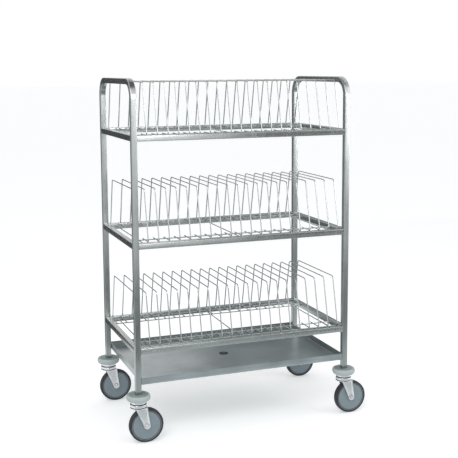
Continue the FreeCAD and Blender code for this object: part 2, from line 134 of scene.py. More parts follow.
class Shader:
    """The node tree of one material or of the world."""

    def __init__(self, tree: bpy.types.NodeTree) -> None:
        """Start from an empty node tree."""
        self.tree = tree
        self.tree.nodes.clear()

    def node(
        self,
        kind: str,
        settings: Optional[dict[str, Any]] = None,
        inputs: Optional[dict[Union[str, int], Any]] = None,
        out: Union[str, int] = 0,
    ) -> Optional[Signal]:
        """Add any node.

        Args:
            kind: Blender's type of the node.
            settings: The node's own properties, which are set first.
            inputs: Values or signals for the node's sockets, by name or number.
            out: Name or number of the output to hand back.

        Returns:
            That output as a signal, or nothing for a node without outputs.
        """
        made = self.tree.nodes.new(kind)
        for name, setting in (settings or {}).items():
            setattr(made, name, setting)
        for key, term in (inputs or {}).items():
            if isinstance(term, Signal):
                self.tree.links.new(term.socket, made.inputs[key])
            else:
                made.inputs[key].default_value = term
        return Signal(self, made.outputs[out]) if made.outputs else None

    def mix(self, share: Term, first: Any, second: Any) -> Signal:
        """Blend two colours.

        Args:
            share: 0 gives the first colour and 1 the second.
            first: A colour or a colour signal.
            second: A colour or a colour signal.

        Returns:
            The blended colour.
        """
        settings = {"data_type": "RGBA", "clamp_factor": True}
        return self.node("ShaderNodeMix", settings, {0: share, 6: first, 7: second}, out=2)

    def noise(self, place: Signal, scale: float, detail: float = 2.0, roughness: float = 0.5) -> Signal:
        """Read a cloudy noise.

        Args:
            place: Coordinates to read it at.
            scale: Clouds to the metre.
            detail: How many finer layers it has.
            roughness: How strong the finer layers are.

        Returns:
            A value from 0 to 1, mostly near the middle.
        """
        inputs = {"Vector": place, "Scale": scale, "Detail": detail, "Roughness": roughness}
        return self.node("ShaderNodeTexNoise", {}, inputs)

    def span(self, signal: Signal, low: float, high: float) -> Signal:
        """Stretch the part of a signal between two levels smoothly to 0 and 1.

        Args:
            signal: The signal to stretch.
            low: Level that becomes 0.
            high: Level that becomes 1.

        Returns:
            The stretched signal.
        """
        return self.node(
            "ShaderNodeMapRange",
            {"interpolation_type": "SMOOTHSTEP"},
            {"Value": signal, "From Min": low, "From Max": high},
        )


# Finishes


class Slot(Enum):
    """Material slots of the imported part."""

    TUBE = "stainless_tube"
    WIRE = "stainless_wire"
    SHEET = "stainless_sheet"
    ZINC = "zinc_plate"
    BUMPER = "grey_bumper"
    WHEEL = "grey_wheel"
    TYRE = "dark_tyre"


class Grain(Enum):
    """Direction that a brushed surface was ground in, as the scale of its lines along each axis."""

    ALONG_X = (0.012, 1.0, 1.0)
    ALONG_Y = (1.0, 0.012, 1.0)
    ALONG_Z = (1.0, 1.0, 0.012)
    NONE = (1.0, 1.0, 1.0)


def new_material(name: str) -> tuple[bpy.types.Material, Shader]:
    """Start a material with an empty node tree.

    Args:
        name: Name of the material.

    Returns:
        The material and its node tree.
    """
    material = bpy.data.materials.new(name)
    material.use_nodes = True
    return material, Shader(material.node_tree)


class Finish:
    """What a surface is made of and how it was worked."""

    name: str

    def varying(self, shader: Shader, place: Signal) -> dict[str, Any]:
        """Give the shader inputs that change over the surface, with the relief under "height"."""
        raise NotImplementedError

    def constants(self) -> dict[str, Any]:
        """Give the shader inputs that are the same all over, by socket."""
        raise NotImplementedError

    def make(self) -> bpy.types.Material:
        """Make the material.

        Returns:
            The material, on object coordinates.
        """
        material, shader = new_material(self.name)
        place = shader.node("ShaderNodeTexCoord", {}, {}, "Object")
        varying = self.varying(shader, place)
        signal, strength, distance = varying.pop("height")
        bump = {"Strength": strength, "Distance": distance, "Height": signal}
        varying["Normal"] = shader.node("ShaderNodeBump", {}, bump)
        surface = shader.node("ShaderNodeBsdfPrincipled", {}, {**self.constants(), **varying})
        shader.node("ShaderNodeOutputMaterial", {}, {"Surface": surface})
        return material


@dataclass(frozen=True)
class BrushedSteel(Finish):
    """Ground stainless steel with fine lines along its grain and faint handling marks."""

    BROAD_LINES: ClassVar[float] = 0.15
    BROAD_SHARE: ClassVar[float] = 0.25
    SMEARS: ClassVar[float] = 3.7
    LINE_DEPTH: ClassVar[float] = 0.0004
    LINE_ROUGHNESS: ClassVar[float] = 0.16
    SMEAR_ROUGHNESS: ClassVar[float] = 0.06
    CLOUD_ROUGHNESS: ClassVar[float] = 0.05

    name: str
    grain: Grain
    dark: Colour
    light: Colour
    roughness: float
    lines: float = 900.0
    clouds: float = 7.0
    relief: float = 0.05
    stretch: float = 0.0
    turn: float = 0.0

    def varying(self, shader: Shader, place: Signal) -> dict[str, Any]:
        """Give colour, roughness and relief.

        Args:
            shader: The material's node tree.
            place: Object coordinates.

        Returns:
            Signals by socket, with the relief under "height".
        """
        along = shader.node("ShaderNodeMapping", {}, {"Vector": place, "Scale": self.grain.value})
        fine = shader.noise(along, self.lines)
        broad = shader.noise(along, self.lines * self.BROAD_LINES)
        cloud = shader.noise(place, self.clouds, detail=4.0, roughness=0.6)
        marks = shader.noise(place, self.clouds * self.SMEARS, detail=5.0, roughness=0.7)
        smear = shader.span(marks, 0.52, 0.72)
        line = fine * (1.0 - self.BROAD_SHARE) + broad * self.BROAD_SHARE
        tone = shader.span(line * 0.5 + cloud * 0.5, 0.32, 0.68)
        uneven = self.roughness + self.LINE_ROUGHNESS * (line - NOISE_MIDDLE) + self.SMEAR_ROUGHNESS * smear
        return {
            "Base Color": shader.mix(tone, self.dark, self.light),
            "Roughness": uneven + self.CLOUD_ROUGHNESS * (cloud - NOISE_MIDDLE),
            "height": (line, self.relief, self.LINE_DEPTH),
        }

    def constants(self) -> dict[str, Any]:
        """Give bare metal, with its gloss stretched across the grain."""
        return {"Metallic": 1.0, "Anisotropic": self.stretch, "Anisotropic Rotation": self.turn}


@dataclass(frozen=True)
class ZincPlate(Finish):
    """Bright zinc plating with a faint bluish cloud and a few dull spots."""

    CLOUDS: ClassVar[float] = 45.0
    SPOTS: ClassVar[float] = 60.0
    GRIT: ClassVar[float] = 900.0
    GRIT_RELIEF: ClassVar[float] = 0.015
    GRIT_DEPTH: ClassVar[float] = 0.0002
    SPOT_ROUGHNESS: ClassVar[float] = 0.06
    CLOUD_ROUGHNESS: ClassVar[float] = 0.06

    name: str
    pale: Colour
    blue: Colour
    roughness: float

    def varying(self, shader: Shader, place: Signal) -> dict[str, Any]:
        """Give colour, roughness and relief.

        Args:
            shader: The material's node tree.
            place: Object coordinates.

        Returns:
            Signals by socket, with the relief under "height".
        """
        cloud = shader.noise(place, self.CLOUDS, detail=4.0, roughness=0.6)
        grit = shader.noise(place, self.GRIT)
        spot = shader.span(shader.noise(place, self.SPOTS), 0.55, 0.8)
        spotted = self.roughness + self.SPOT_ROUGHNESS * spot
        return {
            "Base Color": shader.mix(shader.span(cloud, 0.3, 0.7), self.pale, self.blue),
            "Roughness": spotted + self.CLOUD_ROUGHNESS * (cloud - NOISE_MIDDLE),
            "height": (grit, self.GRIT_RELIEF, self.GRIT_DEPTH),
        }

    def constants(self) -> dict[str, Any]:
        """Give bare metal."""
        return {"Metallic": 1.0}


@dataclass(frozen=True)
class MouldedRubber(Finish):
    """Moulded rubber or plastic with a fine dull skin, dust and scuffs."""

    PORES: ClassVar[float] = 1400.0
    CLOUDS: ClassVar[float] = 38.0
    SCUFFS: ClassVar[float] = 120.0
    SKIN_DEPTH: ClassVar[float] = 0.0004
    CLOUD_ROUGHNESS: ClassVar[float] = 0.14
    RUB_ROUGHNESS: ClassVar[float] = 0.08

    name: str
    body: Colour
    worn: Colour
    roughness: float
    scuff: float
    specular: float
    skin: float = 0.12

    def varying(self, shader: Shader, place: Signal) -> dict[str, Any]:
        """Give colour, roughness and relief.

        Args:
            shader: The material's node tree.
            place: Object coordinates.

        Returns:
            Signals by socket, with the relief under "height".
        """
        pores = shader.noise(place, self.PORES)
        cloud = shader.noise(place, self.CLOUDS, detail=4.0, roughness=0.6)
        rub = shader.span(shader.noise(place, self.SCUFFS, detail=5.0, roughness=0.75), 0.54, 0.72)
        share = self.scuff * (shader.span(cloud, 0.35, 0.75) * 0.55 + rub * 0.45)
        clouded = self.roughness + self.CLOUD_ROUGHNESS * (cloud - NOISE_MIDDLE)
        return {
            "Base Color": shader.mix(share, self.body, self.worn),
            "Roughness": clouded + self.RUB_ROUGHNESS * rub,
            "height": (pores * 0.7 + rub * 0.3, self.skin, self.SKIN_DEPTH),
        }

    def constants(self) -> dict[str, Any]:
        """Give the strength of its gloss."""
        return {"Specular IOR Level": self.specular}


# Mesh helpers


def verts_in(geom: Sequence[Any]) -> list[bmesh.types.BMVert]:
    """List the vertices among an operator's results."""
    return [part for part in geom if isinstance(part, bmesh.types.BMVert)]


def edges_of(verts: Sequence[bmesh.types.BMVert]) -> Edges:
    """List each edge between the given vertices once.

    Args:
        verts: Vertices that may be joined by edges.

    Returns:
        The edges that have both ends among them.
    """
    chosen = set(verts)
    linked = dict.fromkeys(edge for vert in verts for edge in vert.link_edges)
    return [edge for edge in linked if set(edge.verts) <= chosen]


def ring_square(bm: bmesh.types.BMesh, half: float, corner: float, at: Matrix, steps: int = 4) -> Edges:
    """Draw a square with rounded corners.

    Args:
        bm: Mesh to draw in.
        half: Half the square's side.
        corner: Radius of its corners.
        at: Where the square's middle lies, with its plane across the matrix's Z.
        steps: Edges in each corner.

    Returns:
        The ring's edges.
    """
    quarter = Matrix.Rotation(math.pi / 4, 4, "Z")
    made = bmesh.ops.create_circle(
        bm, cap_ends=False, segments=4, radius=half * math.sqrt(2), matrix=at @ quarter
    )["verts"]
    kept = set(bm.verts) - set(made)
    bmesh.ops.bevel(
        bm, geom=made, offset=corner, offset_type="OFFSET", segments=steps, profile=0.5,
        affect="VERTICES", material=-1,
    )
    return edges_of([vert for vert in bm.verts if vert not in kept])


def ring_round(bm: bmesh.types.BMesh, radius: float, at: Matrix, steps: int) -> Edges:
    """Draw a circle.

    Args:
        bm: Mesh to draw in.
        radius: The circle's radius.
        at: Where its middle lies, with its plane across the matrix's Z.
        steps: Edges in the circle.

    Returns:
        The ring's edges.
    """
    made = bmesh.ops.create_circle(bm, cap_ends=False, segments=steps, radius=radius, matrix=at)["verts"]
    return edges_of(made)


def facing(at: Vector, ahead: Vector) -> Matrix:
    """Give the matrix at a point whose Z looks ahead."""
    return Matrix.Translation(at) @ ahead.normalized().to_track_quat("Z", "Y").to_matrix().to_4x4()


def lies_at(part: Any, height: float) -> bool:
    """Tell whether all of an edge or face lies at a height in millimetres."""
    return all(abs(vert.co.z - height * MM) < SAME_LEVEL for vert in part.verts)


def run(bm: bmesh.types.BMesh, ring: Edges, travel: Vector) -> Edges:
    """Extrude a ring of edges straight.

    Args:
        bm: Mesh to work in.
        ring: The ring's edges.
        travel: How far the new ring lies from the old one.

    Returns:
        The new ring's edges.
    """
    verts = verts_in(bmesh.ops.extrude_edge_only(bm, edges=ring)["geom"])
    bmesh.ops.translate(bm, verts=verts, vec=travel)
    return edges_of(verts)


def sweep(
    bm: bmesh.types.BMesh,
    ring: Edges,
    points: Sequence[Vector],
    radii: Sequence[float] = (),
    steps: int = 1,
    settle: float = 0.5 * MM,
) -> None:
    """Carry a ring along straight runs, spin it round each corner, and close both ends.

    Args:
        bm: Mesh to work in.
        ring: Edges of the ring at the first point.
        points: Ends and corners of the line.
        radii: Bend radius at each corner.
        steps: Rings in each bend.
        settle: Short straight on both sides of a bend that keeps the long faces flat.
    """
    bmesh.ops.edgeloop_fill(bm, edges=ring)
    here = points[0]
    for number in range(1, len(points)):
        corner = points[number]
        ahead = (corner - here).normalized()
        if number == len(points) - 1:
            ring = run(bm, ring, corner - here)
            break
        beyond = (points[number + 1] - corner).normalized()
        angle = ahead.angle(beyond)
        radius = radii[number - 1]
        reach = radius * math.tan(angle / 2)
        ring = run(bm, ring, corner - ahead * (reach + settle) - here)
        ring = run(bm, ring, ahead * settle)
        axis = ahead.cross(beyond).normalized()
        centre = corner - ahead * reach + axis.cross(ahead) * radius
        last = bmesh.ops.spin(
            bm, geom=ring, cent=centre, axis=axis, dvec=(0, 0, 0), angle=angle, steps=steps,
            use_merge=False, use_duplicate=False,
        )["geom_last"]
        ring = run(bm, [part for part in last if isinstance(part, bmesh.types.BMEdge)], beyond * settle)
        here = corner + beyond * (reach + settle)
    bmesh.ops.edgeloop_fill(bm, edges=ring)


def both_sides(half: Sequence[TurnedCorner]) -> list[TurnedCorner]:
    """Close the outline of a front half with its mirror image behind."""
    return [*half, *((radius, -height, rounding) for radius, height, rounding in half[::-1])]


def lathe(
    bm: bmesh.types.BMesh,
    outline: Sequence[TurnedCorner],
    at: Matrix,
    steps: int = 96,
    closed: bool = False,
) -> None:
    """Turn an outline about an axis.

    Args:
        bm: Mesh to work in.
        outline: Corners of the outline, from its start to its end.
        at: Foot of the axis, which is the matrix's Z.
        steps: Faces round the axis.
        closed: Whether the outline's end joins its start.
    """
    verts = [bm.verts.new(at @ mm(radius, 0.0, height)) for radius, height, _ in outline]
    kept = set(bm.verts) - set(verts)
    ends = zip(verts, verts[1:] + verts[:1]) if closed else zip(verts, verts[1:])
    for first, second in ends:
        bm.edges.new((first, second))
    for vert, (_, _, rounding) in zip(verts, outline):
        if rounding > 0.0:
            bmesh.ops.bevel(
                bm, geom=[vert], offset=rounding * MM, offset_type="OFFSET", segments=ROUNDING_STEPS,
                profile=0.5, affect="VERTICES", material=-1,
            )
    chain = [vert for vert in bm.verts if vert not in kept]
    bmesh.ops.spin(
        bm, geom=chain + edges_of(chain), cent=at.translation, axis=at.col[2].to_3d(), dvec=(0, 0, 0),
        angle=math.tau, steps=steps, use_merge=True, use_duplicate=False,
    )


def round_edges(bm: bmesh.types.BMesh, edges: Edges, size: float, steps: int = 2) -> None:
    """Bevel edges with a round profile.

    Args:
        bm: Mesh to work in.
        edges: Edges to round.
        size: How far the rounding reaches along each face.
        steps: Faces across the rounding.
    """
    bmesh.ops.bevel(
        bm, geom=edges, offset=size, offset_type="OFFSET", segments=steps, profile=0.5, affect="EDGES",
        clamp_overlap=True, material=-1,
    )


def place_mesh(
    bm: bmesh.types.BMesh, name: str, finishes: Sequence[bpy.types.Material]
) -> bpy.types.Object:
    """Turn a mesh into an object of the scene.

    Args:
        bm: The mesh, which is freed.
        name: Name of the object.
        finishes: Its materials, by face material number.

    Returns:
        The object.
    """
    mesh = bpy.data.meshes.new(name)
    bm.to_mesh(mesh)
    bm.free()
    for finish in finishes:
        mesh.materials.append(finish)
    made = bpy.data.objects.new(name, mesh)
    bpy.context.scene.collection.objects.link(made)
    return made


def publish(
    bm: bmesh.types.BMesh,
    name: str,
    finishes: Sequence[bpy.types.Material],
    body: str,
    nodes: Sequence[str],
    crease: float = 32.0,
) -> bpy.types.Object:
    """Turn a finished mesh into a piece that rides on a body.

    Args:
        bm: The mesh, which is freed.
        name: Name of the piece.
        finishes: Its materials, by face material number.
        body: Body that it moves with.
        nodes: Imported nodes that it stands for.
        crease: Angle in degrees past which an edge stays sharp.

    Returns:
        The piece.
    """
    bmesh.ops.remove_doubles(bm, verts=bm.verts, dist=SAME_PLACE)
    bmesh.ops.recalc_face_normals(bm, faces=bm.faces)
    piece = place_mesh(bm, name, finishes)
    mesh = piece.data
    mesh.polygons.foreach_set("use_smooth", [True] * len(mesh.polygons))
    mesh.set_sharp_from_angle(angle=math.radians(crease))
    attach(piece, body)
    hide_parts(*nodes)
    LOG.info("%s: %d faces on %s", name, len(mesh.polygons), body)
    return piece


# The trolley's sub-assemblies


class Side(Enum):
    """The two ends of the trolley."""

    LEFT = -1
    RIGHT = 1


class Rack(Enum):
    """The three racks, with the level of each one's rail tops in millimetres."""

    LOWER = 413.0
    MIDDLE = 863.0
    TOP = 1313.0


class Corner(Enum):
    """The four castors, by side and end."""

    FRONT_LEFT = (-1, -1)
    FRONT_RIGHT = (1, -1)
    REAR_LEFT = (-1, 1)
    REAR_RIGHT = (1, 1)


@dataclass
class TubeFrame:
    """Two bent side tubes with handles, and four rails at each rack. Sizes in millimetres."""

    finishes: dict[Grain, bpy.types.Material]
    width: float = FRAME_WIDTH
    depth: float = FRAME_DEPTH
    height: float = 1545.0
    foot: float = FRAME_FOOT
    tube: float = TUBE
    corner: float = 2.6
    bend: float = 70.0
    bend_steps: int = 14
    handle_margin: float = 1.0

    def section(self, bm: bmesh.types.BMesh, at: Vector, ahead: Vector) -> Edges:
        """Draw the tube's section at a point, across the way ahead."""
        return ring_square(bm, self.tube / 2 * MM, self.corner * MM, facing(at, ahead))

    def side_tube(self, side: Side) -> bpy.types.Object:
        """Bend one side tube: up the front, over the handle and down the back.

        Args:
            side: The end of the trolley that it stands at.

        Returns:
            The piece.
        """
        across = side.value * self.width / 2
        half = self.depth / 2
        level = self.height - self.tube / 2
        line = ((-half, self.foot), (-half, level), (half, level), (half, self.foot))
        points = [mm(across, deep, up) for deep, up in line]
        bm = bmesh.new()
        ring = self.section(bm, points[0], points[1] - points[0])
        sweep(bm, ring, points, [self.bend * MM] * 2, self.bend_steps)
        handle_foot = (self.height - self.tube - self.handle_margin) * MM
        for face in bm.faces:
            face.material_index = int(face.calc_center_median().z > handle_foot)
        name = side.name.lower()
        finishes = [self.finishes[Grain.ALONG_Z], self.finishes[Grain.ALONG_Y]]
        return publish(bm, f"{name}_side_tube", finishes, FRAME_BODY, [f"{name}_hoop"])

    def rail(self, node: str, start: Vector, end: Vector, grain: Grain) -> bpy.types.Object:
        """Cut a straight rail.

        Args:
            node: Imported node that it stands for.
            start: Middle of its first end.
            end: Middle of its other end.
            grain: Direction that it was ground in.

        Returns:
            The piece.
        """
        bm = bmesh.new()
        sweep(bm, self.section(bm, start, end - start), [start, end])
        return publish(bm, f"{node}_tube", [self.finishes[grain]], FRAME_BODY, [node])

    def rack_rails(self, rack: Rack) -> list[bpy.types.Object]:
        """Frame a rack with its front, rear, left and right rails.

        Args:
            rack: The rack to frame.

        Returns:
            The four rails.
        """
        level = rack.value - self.tube / 2
        long_half = (self.width - self.tube) / 2
        short_half = (self.depth - self.tube) / 2
        name = rack.name.lower()
        rails = []
        for end, deep in (("front", -self.depth / 2), ("rear", self.depth / 2)):
            start, stop = mm(-long_half, deep, level), mm(long_half, deep, level)
            rails.append(self.rail(f"{name}_{end}_rail", start, stop, Grain.ALONG_X))
        for side in Side:
            across = side.value * self.width / 2
            start, stop = mm(across, -short_half, level), mm(across, short_half, level)
            rails.append(self.rail(f"{name}_{side.name.lower()}_rail", start, stop, Grain.ALONG_Y))
        return rails

    def build(self) -> list[bpy.types.Object]:
        """Build both side tubes and the rails of every rack.

        Returns:
            All these pieces.
        """
        tubes = [self.side_tube(side) for side in Side]
        for rack in Rack:
            tubes += self.rack_rails(rack)
        return tubes


@dataclass
class WireRack:
    """One rack of round wire: hoops, rods under their feet and ties below. Sizes in millimetres."""

    rack: Rack
    finish: bpy.types.Material
    inside_width: float = FRAME_WIDTH - TUBE
    inside_depth: float = FRAME_DEPTH - TUBE
    wire: float = 5.0
    count: int = 21
    end_gap: float = 2.5
    rise: float = 216.0
    leg: float = 243.0
    lean: float = 52.0
    top_bend: float = 14.0
    foot_bend: float = 7.0
    foot: float = 88.0
    rod_margin: float = 10.0
    tie_spread: float = 437.0
    sides: int = 10
    bend_steps: int = 5

    def section(self, bm: bmesh.types.BMesh, at: Vector, ahead: Vector) -> Edges:
        """Draw the wire's section at a point, across the way ahead."""
        return ring_round(bm, self.wire / 2 * MM, facing(at, ahead), self.sides)

    def hoops(self) -> bpy.types.Object:
        """Bend one hoop and repeat it along the rack.

        Returns:
            The piece with all the rack's hoops.
        """
        level = self.rack.value
        low = level - self.wire / 2
        first = -(self.inside_width - self.wire) / 2 + self.end_gap
        pitch = -2 * first / (self.count - 1)
        shoulder = self.leg - self.lean
        half = [(self.leg - self.foot, low), (self.leg, low), (shoulder, level + self.rise)]
        line = [(-deep, up) for deep, up in half] + half[::-1]
        points = [mm(first, deep, up) for deep, up in line]
        radii = [bend * MM for bend in (self.foot_bend, self.top_bend, self.top_bend, self.foot_bend)]
        bm = bmesh.new()
        sweep(bm, self.section(bm, points[0], points[1] - points[0]), points, radii, self.bend_steps)
        one = list(bm.verts) + list(bm.edges) + list(bm.faces)
        for number in range(1, self.count):
            verts = verts_in(bmesh.ops.duplicate(bm, geom=one)["geom"])
            bmesh.ops.translate(bm, verts=verts, vec=mm(pitch * number, 0.0, 0.0))
        name = self.rack.name.lower()
        return publish(bm, f"{name}_wire_hoops", [self.finish], FRAME_BODY, [f"{name}_hoops"])

    def straight(self, lines: Sequence[tuple[Vector, Vector]], name: str, node: str) -> bpy.types.Object:
        """Cut straight wires.

        Args:
            lines: Start and end of each wire.
            name: Name of the piece.
            node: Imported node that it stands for.

        Returns:
            The piece.
        """
        bm = bmesh.new()
        for start, end in lines:
            sweep(bm, self.section(bm, start, end - start), [start, end])
        return publish(bm, name, [self.finish], FRAME_BODY, [node])

    def build(self) -> list[bpy.types.Object]:
        """Build the hoops, the long rods and the cross ties.

        Returns:
            The three pieces.
        """
        name = self.rack.name.lower()
        half = self.inside_width / 2
        level = self.rack.value - 1.5 * self.wire
        outer = self.leg - self.rod_margin
        inner = self.leg - self.foot + self.rod_margin
        rods = [(mm(-half, deep, level), mm(half, deep, level)) for deep in (-outer, -inner, inner, outer)]
        deep = self.inside_depth / 2
        level -= self.wire
        spread = self.tie_spread
        ties = [(mm(across, -deep, level), mm(across, deep, level)) for across in (-spread, 0.0, spread)]
        return [
            self.hoops(),
            self.straight(rods, f"{name}_rods", f"{name}_long_rods"),
            self.straight(ties, f"{name}_ties", f"{name}_cross_ties"),
        ]


@dataclass
class DripTray:
    """The folded drip tray, with a drain in its floor and a strainer in the drain. Sizes in millimetres."""

    sheet_finish: bpy.types.Material
    # Near-black steel of the drain spigot: painted shade in the drain hole
    drain_shade_finish: bpy.types.Material
    # Dark steel of the strainer: painted shade in the drain hole
    strainer_shade_finish: bpy.types.Material
    width: float = FRAME_WIDTH - TUBE
    depth: float = FRAME_DEPTH + TUBE
    under: float = 256.0
    lip: float = 30.0
    sheet: float = 1.5
    fold: float = 4.0
    fold_steps: int = 5
    floor_share: float = 0.99
    bore: float = 15.0
    neck: float = 17.0
    flange: float = 22.0
    ring: float = 1.0
    ring_edge: float = 0.7
    bedding: float = 0.2
    tail: float = 30.0
    tail_edge: float = 0.6
    drain_steps: int = 64
    strainer_radius: float = 10.0
    strainer_edge: float = 0.3
    strainer_dome: float = 0.4
    strainer_steps: int = 48
    arm: float = 4.0
    arm_drop: float = 0.3
    arm_gap: float = 0.05

    @property
    def floor(self) -> float:
        """Level of the tray's inside floor."""
        return self.under + self.sheet

    def skin(self, bm: bmesh.types.BMesh, inset: float) -> tuple[Edges, Edges]:
        """Fold one side of the pan's sheet: walls, rounded folds and a floor pierced for the drain.

        Args:
            bm: Mesh to work in.
            inset: How far it lies inside the pan's outer side.

        Returns:
            The edges of its lip and the edges of its hole.
        """
        others = set(bm.edges) | set(bm.faces)
        low, high = self.under + inset, self.under + self.lip
        size = mm(self.width - 2 * inset, self.depth - 2 * inset, high - low)
        at = Matrix.Translation(mm(0.0, 0.0, (low + high) / 2))
        bmesh.ops.create_cube(bm, size=1.0, matrix=at @ Matrix.Diagonal((*size, 1.0)))

        def level(parts: Sequence[Any], height: float) -> list[Any]:
            """List this side's parts that lie at a height."""
            return [part for part in parts if part not in others and lies_at(part, height)]

        bmesh.ops.delete(bm, geom=level(bm.faces, high), context="FACES_ONLY")
        lip = set(level(bm.edges, high))
        folds = [edge for edge in bm.edges if edge not in others and edge not in lip]
        round_edges(bm, folds, (self.fold - inset) * MM, self.fold_steps)
        floor = max(level(bm.faces, low), key=lambda face: face.calc_area())
        rim = list(floor.edges)
        bmesh.ops.delete(bm, geom=[floor], context="FACES_ONLY")
        verts = verts_in(bmesh.ops.extrude_edge_only(bm, edges=rim)["geom"])
        bmesh.ops.scale(bm, verts=verts, vec=(self.floor_share, self.floor_share, 1.0))
        hole = ring_round(bm, self.bore * MM, Matrix.Translation(mm(0.0, 0.0, low)), self.drain_steps)
        bmesh.ops.bridge_loops(bm, edges=edges_of(verts) + hole)
        return level(bm.edges, high), hole

    def pan(self) -> None:
        """Close the two sides of the sheet along the lip and through the drain's hole."""
        bm = bmesh.new()
        outer_lip, outer_hole = self.skin(bm, 0.0)
        inner_lip, inner_hole = self.skin(bm, self.sheet)
        bmesh.ops.triangle_fill(bm, edges=outer_lip + inner_lip, use_beauty=True)
        bmesh.ops.bridge_loops(bm, edges=outer_hole + inner_hole)
        publish(bm, "drip_pan", [self.sheet_finish], FRAME_BODY, ["drip_tray"])

    def drain(self) -> None:
        """Turn the drain: a flat ring on the floor and a spigot below it."""
        bm = bmesh.new()
        top = self.floor + self.ring
        bed = self.floor - self.bedding
        foot = self.under - self.tail
        outline = [
            (self.bore, foot, self.tail_edge), (self.neck, foot, self.tail_edge), (self.neck, bed, 0.0),
            (self.flange, bed, 0.0), (self.flange, top, self.ring_edge), (self.bore, top, self.ring_edge),
        ]
        lathe(bm, outline, Matrix.Identity(4), self.drain_steps, closed=True)
        # The spigot's near-black steel is painted shade, standing in for the shadow inside the drain hole.
        publish(bm, "drain_spigot", [self.drain_shade_finish], FRAME_BODY, ["drip_tray"])

    def strainer(self) -> None:
        """Press the strainer: a disc on four arms across the drain."""
        bm = bmesh.new()
        top = self.floor + self.ring
        low = top - self.sheet
        edge = self.strainer_edge
        outline = [
            (0.0, low, 0.0), (self.strainer_radius, low, edge),
            (self.strainer_radius, top - self.strainer_dome, edge), (0.0, top, 0.0),
        ]
        lathe(bm, outline, Matrix.Identity(4), self.strainer_steps)
        reach = math.sqrt((self.bore - self.arm_gap) ** 2 - (self.arm / 2) ** 2)
        thick = self.sheet - self.arm_drop
        size = Matrix.Diagonal((*mm(2 * reach, self.arm, thick), 1.0))
        middle = Matrix.Translation(mm(0.0, 0.0, low + thick / 2))
        for turn in (0.0, math.pi / 2):
            at = middle @ Matrix.Rotation(turn, 4, "Z")
            arm = bmesh.ops.create_cube(bm, size=1.0, matrix=at @ size)["verts"]
            round_edges(bm, edges_of(arm), edge * MM)
        # The strainer's dark steel is painted shade, darkening the drain hole.
        finishes = [self.strainer_shade_finish]
        publish(bm, "strainer_cross", finishes, FRAME_BODY, ["drain_strainer"])

    def build(self) -> None:
        """Build the pan, the drain and the strainer."""
        for make in (self.pan, self.drain, self.strainer):
            make()


@dataclass
class CastorFinishes:
    """Materials of a castor."""

    zinc: bpy.types.Material
    # Darker zinc: the bolt's duller plating, and painted shade on the fork legs' recessed panels
    dull_zinc_and_panel_shade: bpy.types.Material
    bumper: bpy.types.Material
    # Darker tone for the bumper's flat top faces
    bumper_top: bpy.types.Material
    # Near-black zinc for the crown's seams: painted shade
    seam: bpy.types.Material
    wheel: bpy.types.Material
    # Near-black plastic for the wheel's groove: painted shade
    groove: bpy.types.Material
    tyre: bpy.types.Material


